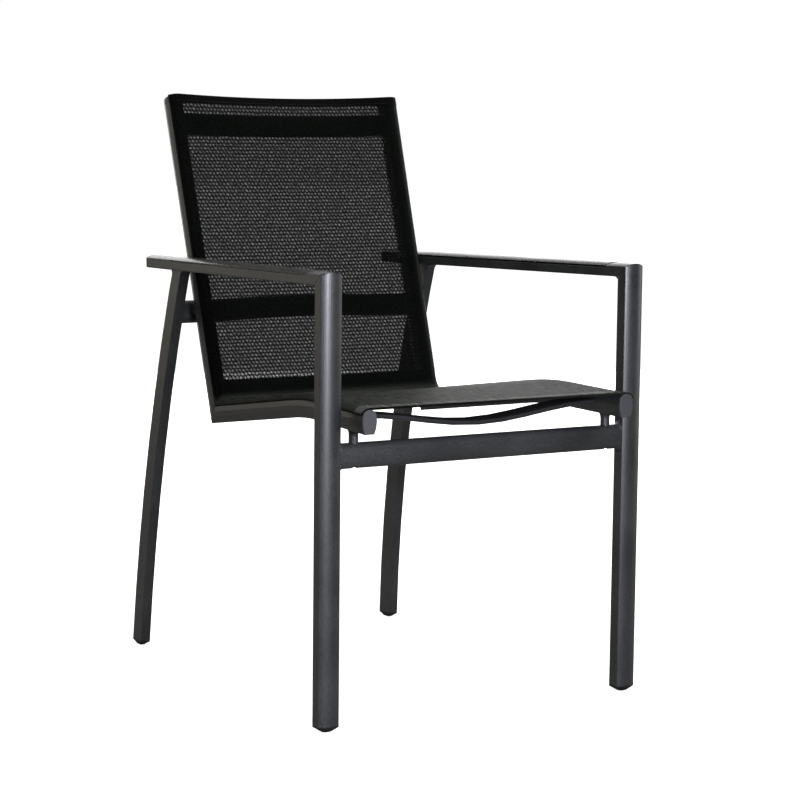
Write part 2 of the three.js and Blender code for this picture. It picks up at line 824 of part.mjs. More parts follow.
function post(railAlong, railAcross, length, topSlope) {
  const end = railAlong / 2 + length - fitGap;
  const footHalfWidth = railFootWidth / 2 - postFootInset;
  const stem = ring(section(circle(postRadius, postSides)), at(0, 0, 0), axisX, axisY);
  const flare = Array.from({ length: postSteps + 1 }, (_, i) => {
    const turn = (Math.PI / 2) * (i / postSteps);
    const share = 1 - Math.cos(turn);
    const halfWidth = lerp(postRadius, footHalfWidth, share);
    const halfLength = postRadius + postFlare * share;
    const height = end - postFlare * (1 - Math.sin(turn));
    const outline = oval(2 * halfWidth, 2 * halfLength, postSides);
    return ring(section(outline), at(0, 0, height), axisX, at(0, 1, topSlope * share));
  });
  const room = oval(
    railAcross + 2 * fitGap, railAlong + 2 * fitGap, crossSides, crossSquareness,
  );
  const reach = postRadius + overrun;
  const saddle = loft([-reach, reach].map((x) => (
    ring(section(room), at(x, 0, 0), axisY, axisZ)
  )));
  const bore = rod(at(0, 0, -overrun), at(0, 0, end + overrun), holeRadius);
  return cut(loft([stem, ...flare]), saddle, bore);
}

// A bolt along local Z; its domed head lies below zero.
const headTopShare = 0.6;
const headSideShare = 0.55;

function bolt(length) {
  const disc = (radius, height) => (
    ring(section(circle(radius, boltSides)), at(0, 0, height), axisX, axisY)
  );
  return loft([
    disc(boltHeadRadius * headTopShare, -boltHeadHeight),
    disc(boltHeadRadius, -boltHeadHeight * headSideShare),
    disc(boltHeadRadius, 0),
    disc(boltRadius, 0),
    disc(boltRadius, length),
  ]);
}

// How far from a cross rail's centre a bolt's head bears on the inside of its wall.
function headSeat(railAlong, railAcross) {
  const share = (boltHeadRadius + 2 * fitGap) / (railAcross / 2 - tubeWall);
  const rise = (1 - share ** crossSquareness) ** (1 / crossSquareness);
  return (railAlong / 2 - tubeWall) * rise - fitGap;
}

// Flat-oval bars between the sling rails.
const barSides = 16;
const barSquareness = 4;

function backSpreader(length, bow) {
  const outline = oval(spreaderThickness, spreaderHeight, barSides, barSquareness);
  const bar = section(outline, shrink(outline, tubeWall));
  const splay = (stileSplay * spreaderHeight) / (2 * stileLength);
  const half = stileSpot(length).x - railWidth / 2 - splay - fitGap;
  const steps = 8;
  return loft(Array.from({ length: steps + 1 }, (_, i) => {
    const share = (2 * i) / steps - 1;
    const slope = Math.atan2(2 * bow * share, half);
    const origin = stileSpot(length).setX(half * share)
      .addScaledVector(stileFace, spreaderSetIn - bow * (1 - share ** 2));
    const square = Math.abs(share) === 1;
    const across = square ? stileFace.clone().divideScalar(Math.cos(slope))
      : stileFace.clone().multiplyScalar(Math.cos(slope)).addScaledVector(axisX, -Math.sin(slope));
    return ring(bar, origin, across, stileUp);
  }));
}

const seatSpreaderSeat = seatSpot(seatLengthAt(seatSpreaderDepth));

function seatSpreader() {
  const outline = oval(seatSpreaderWidth, seatSpreaderThickness, barSides, barSquareness);
  const bar = section(outline, shrink(outline, tubeWall));
  const half = seatSpreaderSeat.spot.x - railWidth / 2 - fitGap;
  const endHeight = seatSpreaderSeat.spot.z + seatSpreaderEndHeight;
  const steps = 10;
  return loft(Array.from({ length: steps + 1 }, (_, i) => {
    const share = (2 * i) / steps - 1;
    const turn = Math.PI * share;
    const slope = Math.atan2((seatSpreaderBow / 2) * Math.PI * Math.sin(turn), half);
    const height = endHeight - seatSpreaderBow * (1 + Math.cos(turn)) / 2;
    const square = Math.abs(share) === 1;
    const origin = at(half * share, seatSpreaderDepth, height);
    const up = square ? axisZ.clone().divideScalar(Math.cos(slope))
      : at(-Math.sin(slope), 0, Math.cos(slope));
    const across = square ? at(-seatTaper * share, 1, 0) : axisY;
    return ring(bar, origin, across, up);
  }));
}

// Tapered spacer between the stile's outer face and the arm's inner face.
function armSpacer() {
  const washer = section(circle(spacerRadius, 16), circle(holeRadius, 16));
  const inner = at(boltX + railWidth / 2 + fitGap, armBoltDepth, armBoltHeight);
  const outer = inner.clone().setX(faceX(-legWidth / 2, armBoltDepth) - fitGap);
  const lean = at(-Math.tan(armToe), 1, 0);
  return loft([ring(washer, inner, axisY, axisZ), ring(washer, outer, lean, axisZ)]);
}

// Bolt holes.
const frontPostSpot = postSeat.spot;
const armHoleStart = at(boltX - railWidth, armBoltDepth, armBoltHeight);
const armHoleEnd = armHoleStart.clone()
  .setX(faceX(-legWidth / 2, armBoltDepth) + tubeWall + overrun);
const frontRailSpot = frontPostSpot.clone().setZ(frontRailCentre.z);
const rearRailSpot = rearPostSpot.clone().addScaledVector(stileFace, -rearRun);
const boltHole = (railSpot, footSpot, way) => rod(
  railSpot, footSpot.clone().addScaledVector(way, railWall + overrun), holeRadius,
);
const driverHole = (railSpot, way, reach) => rod(
  railSpot.clone().addScaledVector(way, -reach), railSpot, boltHeadRadius + driverRoom, boltSides,
);
const frontHole = boltHole(frontRailSpot, frontPostSpot, axisZ);
const rearHole = boltHole(rearRailSpot, rearPostSpot, stileFace);
const frontAccess = driverHole(frontRailSpot, axisZ, crossRailHeight);
const rearAccess = driverHole(rearRailSpot, stileFace, crossRailDepth);

// The same solid on the other side of the chair's middle.
function flipped(geometry) {
  const copy = geometry.clone().scale(-1, 1, 1);
  const index = [...copy.index.array];
  copy.setIndex(index.reverse());
  return copy;
}

// Finishes.
const finishes = {
  coat: { color: 0x3c3d3f, roughness: 0.62, metalness: 0.15 },
  plastic: { color: 0x2a2b2c, roughness: 0.55, metalness: 0 },
  strip: { color: 0x5a5a58, roughness: 0.5, metalness: 0.1 },
  weave: { color: 0x55584c, roughness: 0.8, metalness: 0 },
  steel: { color: 0x8c8d8f, roughness: 0.35, metalness: 1 },
};

function piece(name, geometry, finish) {
  const faceted = geometry.index ? geometry.toNonIndexed() : geometry;
  faceted.computeVertexNormals();
  const mesh = new THREE.Mesh(faceted, new THREE.MeshStandardMaterial(finishes[finish]));
  mesh.name = name;
  return mesh;
}

const armHole = rod(toSide(armHoleStart), toSide(armHoleEnd), holeRadius);
const sideShapes = [
  ['front_leg', frontLeg(), 'coat'],
  ['front_glide', frontGlide(), 'plastic'],
  ['arm', armTube(armHole), 'coat'],
  ['arm_strip', armStrip(), 'strip'],
  ['arm_end_cap', armEndCap(), 'plastic'],
  ['rear_leg', rearLeg(), 'coat'],
  ['rear_glide', rearGlide(), 'plastic'],
];
const railShapes = [
  ['seat_rail', seatRail(frontHole), 'coat'],
  ['back_stile', backStile(rod(armHoleStart, armHoleEnd, holeRadius), rearHole), 'coat'],
  ['seat_rail_cap', seatRailCap(), 'plastic'],
  ['stile_cap', stileCap(), 'plastic'],
  ['seat_spline', seatSpline(), 'plastic'],
  ['back_spline', backSpline(), 'plastic'],
  ['arm_spacer', armSpacer(), 'plastic'],
];

function placed(name, geometry, finish, position, tilt) {
  const mesh = piece(name, geometry, finish);
  mesh.position.copy(position);
  mesh.rotation.set(tilt.x, tilt.y, 0);
  return mesh;
}

const frontPost = post(crossRailHeight, crossRailDepth, postHeight, -Math.tan(postSeat.slope));
const rearPost = post(crossRailDepth, crossRailHeight, rearPostLength, 0);
const frontSeat = headSeat(crossRailHeight, crossRailDepth);
const rearSeat = headSeat(crossRailDepth, crossRailHeight);
const frontBolt = bolt(crossRailHeight / 2 - frontSeat + postHeight + railWall + boltCatch);
const rearBolt = bolt(crossRailDepth / 2 - rearSeat + rearPostLength + railWall + boltCatch);
const armBolt = bolt(railWidth + armJointGap + tubeWall + boltCatch);
const upright = point(0, 0);
const tipped = point(Math.PI / 2 - backLean, 0);

function half(side) {
  const group = new THREE.Group();
  group.name = `half_${side}`;
  const frame = new THREE.Group();
  frame.name = `side_frame_${side}`;
  frame.position.set(sidePosition, 0, 0);
  frame.rotation.z = armToe;
  sideShapes.forEach(([name, shape, finish]) => frame.add(piece(`${name}_${side}`, shape, finish)));
  railShapes.forEach(([name, shape, finish]) => group.add(piece(`${name}_${side}`, shape, finish)));
  const frontHead = frontRailSpot.clone().addScaledVector(axisZ, frontSeat);
  const rearHead = rearRailSpot.clone().addScaledVector(stileFace, rearSeat);
  const armHead = at(boltX - railWidth / 2 - fitGap, armBoltDepth, armBoltHeight);
  group.add(
    frame,
    placed(`front_post_${side}`, frontPost, 'coat', frontRailSpot, upright),
    placed(`rear_post_${side}`, rearPost, 'coat', rearRailSpot, tipped),
    placed(`front_post_bolt_${side}`, frontBolt, 'steel', frontHead, upright),
    placed(`rear_post_bolt_${side}`, rearBolt, 'steel', rearHead, tipped),
    placed(`arm_bolt_${side}`, armBolt, 'steel', armHead, point(0, Math.PI / 2)),
  );
  return group;
}

const chair = new THREE.Group();
chair.name = 'sling_armchair';
const leftHalf = half('left');
const rightHalf = half('right');
rightHalf.scale.x = -1;

const bothSides = (...holes) => [...holes, ...holes.map(flipped)];
const frontRail = crossRail({
  centre: frontRailCentre, across: axisY, up: axisZ, endX: frontEndX,
  bow: 0, postX: frontPostSpot.x, holes: bothSides(frontHole, frontAccess),
});
const rearRail = crossRail({
  centre: rearRailCentre, across: stileFace.clone().negate(), up: stileUp, endX: rearEndX,
  bow: rearRailBow, postX: rearPostSpot.x, holes: bothSides(rearHole, rearAccess),
});
const upperLift = (chairHeight - upperSpreaderDrop - cornerHeight) / stileUp.z;
const lowerLift = lowerSpreaderRise / stileUp.z;
chair.add(
  leftHalf,
  rightHalf,
  piece('front_rail', frontRail, 'coat'),
  piece('rear_rail', rearRail, 'coat'),
  piece('upper_back_spreader', backSpreader(upperLift, upperBow), 'coat'),
  piece('lower_back_spreader', backSpreader(lowerLift, lowerBow), 'coat'),
  piece('seat_spreader', seatSpreader(), 'coat'),
  piece('sling', sling(), 'weave'),
);

// The origin is on the floor, under the middle of the whole chair.
chair.updateMatrixWorld(true);
const bounds = new THREE.Box3().setFromObject(chair, true);
chair.position.set(0, -(bounds.min.y + bounds.max.y) / 2, -bounds.min.z);

export default chair;
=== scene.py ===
import math

import bmesh
import bpy
from mathutils import Matrix, Vector


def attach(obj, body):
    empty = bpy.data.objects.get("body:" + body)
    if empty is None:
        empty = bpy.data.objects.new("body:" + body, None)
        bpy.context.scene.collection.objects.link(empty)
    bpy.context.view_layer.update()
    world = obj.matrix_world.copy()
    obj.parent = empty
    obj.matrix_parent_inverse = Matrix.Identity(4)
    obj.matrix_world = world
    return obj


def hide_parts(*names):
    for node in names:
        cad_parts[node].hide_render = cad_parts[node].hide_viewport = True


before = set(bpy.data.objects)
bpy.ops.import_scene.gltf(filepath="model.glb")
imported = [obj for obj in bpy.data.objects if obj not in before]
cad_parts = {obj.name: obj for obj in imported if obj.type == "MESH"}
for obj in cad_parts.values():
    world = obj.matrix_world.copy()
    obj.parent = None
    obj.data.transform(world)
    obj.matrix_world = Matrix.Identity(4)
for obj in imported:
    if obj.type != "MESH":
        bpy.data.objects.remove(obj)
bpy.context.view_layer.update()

# Camera
# The chair is seen from its front right, a little above seat height, through a long lens.
view_turn = math.radians(-31.289)
view_tilt = math.radians(6.373)
view_roll = math.radians(0.414)
view_place = (-1.8381, -3.1042, 0.8178)
back = Vector((math.sin(view_turn) * math.cos(view_tilt),
               -math.cos(view_turn) * math.cos(view_tilt), math.sin(view_tilt)))
level = Vector((math.cos(view_turn), math.sin(view_turn), 0.0))
rise = back.cross(level)
across = math.cos(view_roll) * level + math.sin(view_roll) * rise
upward = -math.sin(view_roll) * level + math.cos(view_roll) * rise
camera = bpy.data.objects.new("camera", bpy.data.cameras.new("camera"))
camera.data.sensor_width = 36
camera.data.lens = 107.766
camera.matrix_world = (Matrix.Translation(view_place)
                       @ Matrix((across, upward, back)).transposed().to_4x4())
bpy.context.scene.collection.objects.link(camera)
bpy.context.scene.camera = camera
bpy.context.scene.view_settings.view_transform = "Standard"

# Studio floor
# The camera sees a floor that is pale under the chair and pure white further out. The light
# that it throws back on the chair is that of a darker, slightly warm grey.
floor_reach = 30
floor_seen = (0.9, 0.9, 0.9)
floor_bounce = (0.2, 0.197, 0.185)
glow_starts, glow_ends = 0.5, 1.4
glow_near, glow_far = 0.8, 1.02


def finished(name, mesh_data, material, smooth=True):
    """Puts a bmesh into a new object with one material and frees it."""
    bmesh.ops.recalc_face_normals(mesh_data, faces=mesh_data.faces[:])
    for face in mesh_data.faces:
        face.smooth = smooth
    mesh = bpy.data.meshes.new(name)
    mesh_data.to_mesh(mesh)
    mesh_data.free()
    mesh.materials.append(material)
    piece = bpy.data.objects.new(name, mesh)
    bpy.context.scene.collection.objects.link(piece)
    return piece


def new_material(name, colour, roughness, **sockets):
    """A Principled material with constant values set on the shader's own sockets."""
    material = bpy.data.materials.new(name)
    material.use_nodes = True
    shader = material.node_tree.nodes["Principled BSDF"]
    shader.inputs["Base Color"].default_value = (*colour, 1)
    shader.inputs["Roughness"].default_value = roughness
    for socket, value in sockets.items():
        shader.inputs[socket.replace("_", " ")].default_value = value
    return material, shader


def node(tree, kind, links=(), **settings):
    """Adds a node, sets its properties, and links or fills its inputs by name or index."""
    made = tree.nodes.new(kind)
    for key, value in settings.items():
        setattr(made, key, value)
    for key, value in dict(links).items():
        socket = made.inputs[key]
        if isinstance(value, bpy.types.NodeSocket):
            tree.links.new(value, socket)
        else:
            socket.default_value = value
    return made


floor_material, floor_shader = new_material("floor_white", floor_seen, 0.9)
floor_shader.inputs["Emission Color"].default_value = (1, 1, 1, 1)
tree = floor_material.node_tree
path = node(tree, "ShaderNodeLightPath")
place = node(tree, "ShaderNodeTexCoord")
away = node(tree, "ShaderNodeVectorMath", {0: place.outputs["Object"]}, operation="LENGTH")
level_glow = node(tree, "ShaderNodeMapRange", {
    "Value": away.outputs["Value"], "From Min": glow_starts, "From Max": glow_ends,
    "To Min": glow_near, "To Max": glow_far})
glow = node(tree, "ShaderNodeMath", {
    0: path.outputs["Is Camera Ray"], 1: level_glow.outputs[0]}, operation="MULTIPLY")
shown = node(tree, "ShaderNodeMix", {
    0: path.outputs["Is Camera Ray"], 6: (*floor_bounce, 1), 7: (*floor_seen, 1)},
    data_type="RGBA")
tree.links.new(glow.outputs[0], floor_shader.inputs["Emission Strength"])
tree.links.new(shown.outputs[2], floor_shader.inputs["Base Color"])
floor_mesh = bmesh.new()
bmesh.ops.create_grid(floor_mesh, x_segments=1, y_segments=1, size=floor_reach)
floor = finished("floor", floor_mesh, floor_material, smooth=False)

# Studio light
# The background is white to the camera and gives the chair only a faint fill. A small cool
# key light draws the bright line down the near leg, and large soft lamps do the rest.
fill_colour = (1.0, 0.99, 0.97)
fill_strength = 0.17

world = bpy.data.worlds.new("studio")
bpy.context.scene.world = world
world.use_nodes = True
tree = world.node_tree
tree.nodes.clear()
path = node(tree, "ShaderNodeLightPath")
seen = node(tree, "ShaderNodeBackground", {"Color": (1, 1, 1, 1), "Strength": 1.0})
fill = node(tree, "ShaderNodeBackground", {
    "Color": (*fill_colour, 1), "Strength": fill_strength})
sky = node(tree, "ShaderNodeMixShader", {
    0: path.outputs["Is Camera Ray"], 1: fill.outputs[0], 2: seen.outputs[0]})
node(tree, "ShaderNodeOutputWorld", {0: sky.outputs[0]})


def softbox(name, place, target, width, height, power, colour=(1, 1, 1)):
    """A rectangular area light that faces its target."""
    light = bpy.data.lights.new(name, "AREA")
    light.shape = "RECTANGLE"
    light.size = width
    light.size_y = height
    light.energy = power
    light.color = colour
    lamp = bpy.data.objects.new(name, light)
    way = Vector(target) - Vector(place)
    facing = way.to_track_quat("-Z", "Y").to_matrix().to_4x4()
    lamp.matrix_world = Matrix.Translation(place) @ facing
    bpy.context.scene.collection.objects.link(lamp)


softbox("key_light", place=(-0.43, -2.05, 0.68), target=(-0.3, -0.3, 0.62),
        width=0.28, height=0.3, power=37, colour=(0.87, 0.9, 1.0))
softbox("right_light", place=(3.0, -0.6, 0.9), target=(0, 0, 0.5),
        width=1.0, height=1.6, power=12)
softbox("left_light", place=(-3.2, -0.3, 0.9), target=(-0.2, 0, 0.5),
        width=1.2, height=1.4, power=8, colour=(1.0, 0.9, 0.74))
softbox("top_light", place=(0.2, 0.6, 3.0), target=(0, 0, 0.4),
        width=2.6, height=2.6, power=50)
softbox("rear_left_light", place=(-2.4, 3.9, 1.0), target=(-0.3, 0, 0.5),
        width=1.8, height=1.8, power=8, colour=(1.0, 0.94, 0.82))
softbox("back_light", place=(2.0, 3.9, 1.3), target=(0.2, 0, 0.6),
        width=4.8, height=2.6, power=105)

# Legs and arms
# Front legs and arms are one D-section aluminium tube, mitred and welded at the front
# corner. The rear legs are bowed flat-oval tubes, welded under the arms. After welding the
# frame gets a charcoal powder coat with a fine orange-peel grain.
fine_grain, peel_grain, cloud_grain = 1500.0, 520.0, 9.0
grain_depth = 0.0004
gloss_spread = 0.07


def new_group(name, inputs, outputs):
    """An empty node group with the named sockets."""
    group = bpy.data.node_groups.new(name, "ShaderNodeTree")
    for label, kind, value in inputs:
        socket = group.interface.new_socket(label, in_out="INPUT", socket_type=kind)
        socket.default_value = value
    for label, kind in outputs:
        group.interface.new_socket(label, in_out="OUTPUT", socket_type=kind)
    return group, group.nodes.new("NodeGroupInput"), group.nodes.new("NodeGroupOutput")


def powder_group():
    """Powder grain: a mottled colour share and a bump height in object coordinates."""
    group, given, result = new_group(
        "powder_grain",
        [("Scale", "NodeSocketFloat", 1.0)],
        [("Shade", "NodeSocketFloat"), ("Height", "NodeSocketFloat")])
    place = node(group, "ShaderNodeTexCoord")
    scaled = node(group, "ShaderNodeVectorMath", {
        0: place.outputs["Object"], "Scale": given.outputs["Scale"]}, operation="SCALE")
    grain = node(group, "ShaderNodeTexNoise", {
        "Vector": scaled.outputs[0], "Scale": fine_grain, "Detail": 2.0, "Roughness": 0.6})
    peel = node(group, "ShaderNodeTexNoise", {
        "Vector": scaled.outputs[0], "Scale": peel_grain, "Detail": 1.0})
    cloud = node(group, "ShaderNodeTexNoise", {
        "Vector": scaled.outputs[0], "Scale": cloud_grain, "Detail": 3.0})
    height = node(group, "ShaderNodeMath", {
        0: grain.outputs[0], 1: peel.outputs[0]}, operation="ADD")
    mottle = node(group, "ShaderNodeMath", {
        0: peel.outputs[0], 1: cloud.outputs[0]}, operation="MULTIPLY")
    group.links.new(height.outputs[0], result.inputs["Height"])
    group.links.new(mottle.outputs[0], result.inputs["Shade"])
    return group


powder = powder_group()


def grained(name, dark, light, roughness, relief, scale=1.0, rounding=0.0, **sockets):
    """A grained coat or moulding: two close colours, slight gloss change and a fine bump."""
    material, shader = new_material(name, dark, roughness, **sockets)
    tree = material.node_tree
    grain = node(tree, "ShaderNodeGroup", node_tree=powder)
    grain.inputs["Scale"].default_value = scale
    tint = node(tree, "ShaderNodeMapRange", {
        "Value": grain.outputs["Shade"], "From Min": 0.12, "From Max": 0.38})
    colour = node(tree, "ShaderNodeMix", {
        0: tint.outputs[0], 6: (*dark, 1), 7: (*light, 1)}, data_type="RGBA")
    gloss = node(tree, "ShaderNodeMapRange", {
        "Value": grain.outputs["Shade"], "From Min": 0.1, "From Max": 0.4,
        "To Min": roughness - gloss_spread, "To Max": roughness + gloss_spread})
    bump = node(tree, "ShaderNodeBump", {
        "Height": grain.outputs["Height"], "Strength": relief, "Distance": grain_depth})
    if rounding:
        soft_edge = node(tree, "ShaderNodeBevel", {"Radius": rounding}, samples=4)
        tree.links.new(soft_edge.outputs[0], bump.inputs["Normal"])
    tree.links.new(colour.outputs[2], shader.inputs["Base Color"])
    tree.links.new(gloss.outputs[0], shader.inputs["Roughness"])
    tree.links.new(bump.outputs[0], shader.inputs["Normal"])
    return material


def pair(kind):
    """The names of a piece on the left and of its like on the right."""
    return [f"{kind}_left", f"{kind}_right"]


def finish(material, names):
    """Gives one finish to pieces that are carried over from the solids."""
    for name in names:
        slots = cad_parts[name].data.materials
        slots.clear()
        slots.append(material)


frame_coat = grained("frame_coat", dark=(0.013, 0.0137, 0.0143), light=(0.038, 0.039, 0.040),
                     roughness=0.4, relief=0.32, rounding=0.0022,
                     Specular_IOR_Level=0.5, Coat_Weight=0.35, Coat_Roughness=0.3)
finish(frame_coat, pair("front_leg") + pair("rear_leg") + pair("arm"))

# Cross rails, posts and spacers
# The front and rear rails are oval tubes, welded between the legs. Short turned posts stand
# the sling's rails off them, and a turned spacer keeps each back stile off its arm.
finish(frame_coat, ["front_rail", "rear_rail"])
finish(frame_coat, pair("front_post") + pair("rear_post") + pair("arm_spacer"))

# Seat rails and back stiles
# One aluminium extrusion with a crowned top and a keyhole channel for the sling's edge. The
# seat rail is arched over its nose and mitred to the stile. It has the frame's coat.
finish(frame_coat, pair("seat_rail") + pair("back_stile"))

# Arm strips
# A crowned aluminium strip lies in the top of each arm. It has a smoother satin coat. Its
# sides go down into a groove and are painted near black, a painted shadow of the groove.
painted_groove_shadow = (0.001, 0.001, 0.001)
shadow_full_below, shadow_clear_above = 0.4, 0.8

strip_coat = grained("arm_strip_satin", dark=(0.022, 0.022, 0.021),
                     light=(0.034, 0.034, 0.032), roughness=0.3, relief=0.2)
tree = strip_coat.node_tree
strip_colour = tree.nodes["Principled BSDF"].inputs["Base Color"]
facing = node(tree, "ShaderNodeNewGeometry")
normal = node(tree, "ShaderNodeSeparateXYZ", {0: facing.outputs["True Normal"]})
# Painted shadow: faces that stand upright, the strip's sides in the groove, get near black.
unshadowed_top_share = node(tree, "ShaderNodeMapRange", {
    "Value": normal.outputs[2], "From Min": shadow_full_below, "From Max": shadow_clear_above})
groove_shadowed_colour = node(tree, "ShaderNodeMix", {
    0: unshadowed_top_share.outputs[0], 6: (*painted_groove_shadow, 1), 7: strip_colour.links[0].from_socket},
    data_type="RGBA")
tree.links.new(groove_shadowed_colour.outputs[2], strip_colour)
finish(strip_coat, pair("arm_strip"))

# End plugs
# Moulded dark grey plastic plugs are pushed into the open ends of arms, seat rails and
# stiles. They are a shade lighter than the coat and less glossy.
plug_plastic = grained("plug_plastic", dark=(0.05, 0.05, 0.053), light=(0.065, 0.065, 0.068),
                       roughness=0.5, relief=0.25, scale=0.7)
finish(plug_plastic, pair("arm_end_cap") + pair("seat_rail_cap") + pair("stile_cap"))

# Foot glides
# Each leg stands on a tapered glide of smooth black plastic, with a tongue that is pushed up
# into the tube.
glide_plastic = grained("glide_plastic", dark=(0.004, 0.004, 0.0042),
                        light=(0.008, 0.008, 0.008), roughness=0.3, relief=0.3, scale=0.6)
finish(glide_plastic, pair("front_glide") + pair("rear_glide"))

# Bolts
# Blackened steel bolts with domed heads clamp rail, post and sling rail together, and each
# back stile to its arm.
bolt_steel = grained("bolt_steel", dark=(0.05, 0.05, 0.052), light=(0.09, 0.09, 0.09),
                     roughness=0.35, relief=0.15, scale=2.0, Metallic=0.8)
finish(bolt_steel, pair("front_post_bolt") + pair("rear_post_bolt") + pair("arm_bolt"))

# Spreaders
# Three bowed flat-oval bars keep the sling's rails apart: one under the seat and two behind
# the back. Their coat is a little darker than the frame's.
spreader_coat = grained("spreader_coat", dark=(0.012, 0.012, 0.013),
                        light=(0.022, 0.022, 0.023), roughness=0.42, relief=0.3)
finish(spreader_coat, ["upper_back_spreader", "lower_back_spreader", "seat_spreader"])

# Splines
# Round rods of extruded black plastic lie in the sleeves along the sling's edges. They are
# pushed into the channels lengthwise, and lock the cloth there.
spline_plastic = grained("spline_plastic", dark=(0.012, 0.012, 0.013), light=(0.02, 0.02, 0.02),
                         roughness=0.45, relief=0.2)
finish(spline_plastic, pair("seat_spline") + pair("back_spline"))

# Sling
# One length of open-woven, vinyl-coated yarn is stretched between the rails. Its sides wrap
# over both crowns into the keyhole channels, and it is folded where the seat meets the
# back. The sizes are the part's own, in millimetres.
MM = 0.001
middle_shift = -315.2038
corner = Vector((468.0, 373.5))
seat_pitch = math.radians(7.9)
nose_pitch = math.radians(-1.9)
back_lean = math.radians(17.46)
nose_radius = 500.0
seat_straight = 290.03
bend_length = 85.521
nose_straight = 131.495
seat_length = seat_straight + bend_length + nose_straight
stile_length = 513.628
corner_half_width = 187.905
seat_taper = 0.050983
stile_spread = 0.0097347

rail_height = 34.0
crown_radius = 12.28
crown_half_width = 9.5
crown_spread = math.asin(crown_half_width / crown_radius)
slot_height = 26.5
slot_depth = 9.2
slot_mouth = 11.2
mouth_rise = 0.1
side_reach = 11.4
side_rise = 1.6
crown_inner_edge = 9.0

cloth_thickness = 0.9
cloth_lift = 0.8
fold_reach = 46.0
seat_sag = 4.0
back_sag = 3.0
top_length = stile_length + 1.1
top_dip = 5.5
top_dip_share = 0.2
top_scoop = 4.0
scoop_reach = 70.0
edge_allowance = 1.0

seat_steps, fold_steps, back_steps = 44, 12, 48
crown_steps, span_steps = 5, 22


def seat_line(length):
    """Foot line of a seat rail: depth and height, distance from the middle, and facing."""
    straight = min(length, seat_straight)
    bent = min(max(length - seat_straight, 0.0), bend_length)
    front = max(0.0, length - seat_straight - bend_length)
    pitch = seat_pitch - bent / nose_radius
    forward = (straight * math.cos(seat_pitch) + front * math.cos(nose_pitch)
               + nose_radius * (math.sin(seat_pitch) - math.sin(pitch)))
    rise_by = (straight * math.sin(seat_pitch) + front * math.sin(nose_pitch)
               + nose_radius * (math.cos(pitch) - math.cos(seat_pitch)))
    face = Vector((math.sin(pitch), math.cos(pitch)))
    return corner + Vector((-forward, rise_by)), corner_half_width + seat_taper * forward, face


def stile_line(length):
    """Foot line of a back stile, measured up from the corner."""
    way = Vector((math.sin(back_lean), math.cos(back_lean)))
    face = Vector((-math.cos(back_lean), math.sin(back_lean)))
    return corner + way * length, corner_half_width + stile_spread * length, face


def seat_row(length):
    """One cross-section of the seat: place, half width, facing, middle's hang and scoop."""
    share = length / seat_length
    return (*seat_line(length), -seat_sag * 4 * share * (1 - share), 0.0)


def back_row(length):
    """One cross-section of the back. Near the top the middle sags back and scoops down."""
    share = length / top_length
    droop = max(0.0, (share - (1 - top_dip_share)) / top_dip_share)
    scoop = top_scoop * max(0.0, 1 - (top_length - length) / scoop_reach) ** 2
    hang = -back_sag * 4 * share * (1 - share) - top_dip * droop ** 2
    return (*stile_line(length), hang, scoop)


def fold_rows(steps):
    """Cross-sections round the bend from seat to back."""
    spot_a, half_a, face_a, hang_a, _ = seat_row(fold_reach)
    spot_b, half_b, face_b, hang_b, _ = back_row(fold_reach)
    height = rail_height + cloth_lift
    start, end = spot_a + face_a * height, spot_b + face_b * height
    way_a = Vector((face_a.y, -face_a.x))
    way_b = Vector((-face_b.y, face_b.x))
    gap = end - start
    reach = (gap.x * way_b.y - gap.y * way_b.x) / (way_a.x * way_b.y - way_a.y * way_b.x)
    middle = start + way_a * reach
    made = []
    for i in range(1, steps):
        share = i / steps
        spot = start * (1 - share) ** 2 + middle * 2 * share * (1 - share) + end * share ** 2
        way = ((middle - start) * (1 - share) + (end - middle) * share).normalized()
        face = Vector((-way.y, way.x))
        made.append((spot - face * height, half_a + (half_b - half_a) * share, face,
                     hang_a + (hang_b - hang_a) * share, 0.0))
    return made


def spread(row_at, start, end, steps):
    """Cross-sections at even lengths along a seat rail or a stile."""
    return [row_at(start + (end - start) * i / steps) for i in range(steps + 1)]


def cloth_line(half, hang, lift):
    """Cross-section from one rail's slot over both crowns to the other, raised by lift."""
    gap = cloth_lift + lift
    height = rail_height + gap
    radius = crown_radius + gap
    line = [(half + slot_depth, slot_height + lift),
            (half + slot_mouth + lift, slot_height + mouth_rise + lift),
            (half + side_reach + gap, slot_height + side_rise)]
    for i in range(crown_steps):
        turn = crown_spread * (1 - i / crown_steps)
        line.append((half + radius * math.sin(turn),
                     rail_height - crown_radius + radius * math.cos(turn)))
    line.append((half, height))
    for i in range(span_steps):
        share = 1 - i / span_steps
        line.append(((half - crown_inner_edge) * share, height + hang * (1 - share ** 2)))
    return line + [(0.0, height + hang)] + [(-x, z) for x, z in reversed(line)]


def point_at(row, x, z):
    """A point of a cross-section, in the frame's metres."""
    spot, half, face, _, scoop = row
    way = Vector((face.y, -face.x))
    place = spot + face * z - way * scoop * max(0.0, 1 - (x / half) ** 2)
    return Vector((x * MM, (place.x + middle_shift) * MM, place.y * MM))


def lengths_along(points):
    """Running length through a list of points."""
    total = [0.0]
    for a, b in zip(points, points[1:]):
        total.append(total[-1] + (b - a).length)
    return total


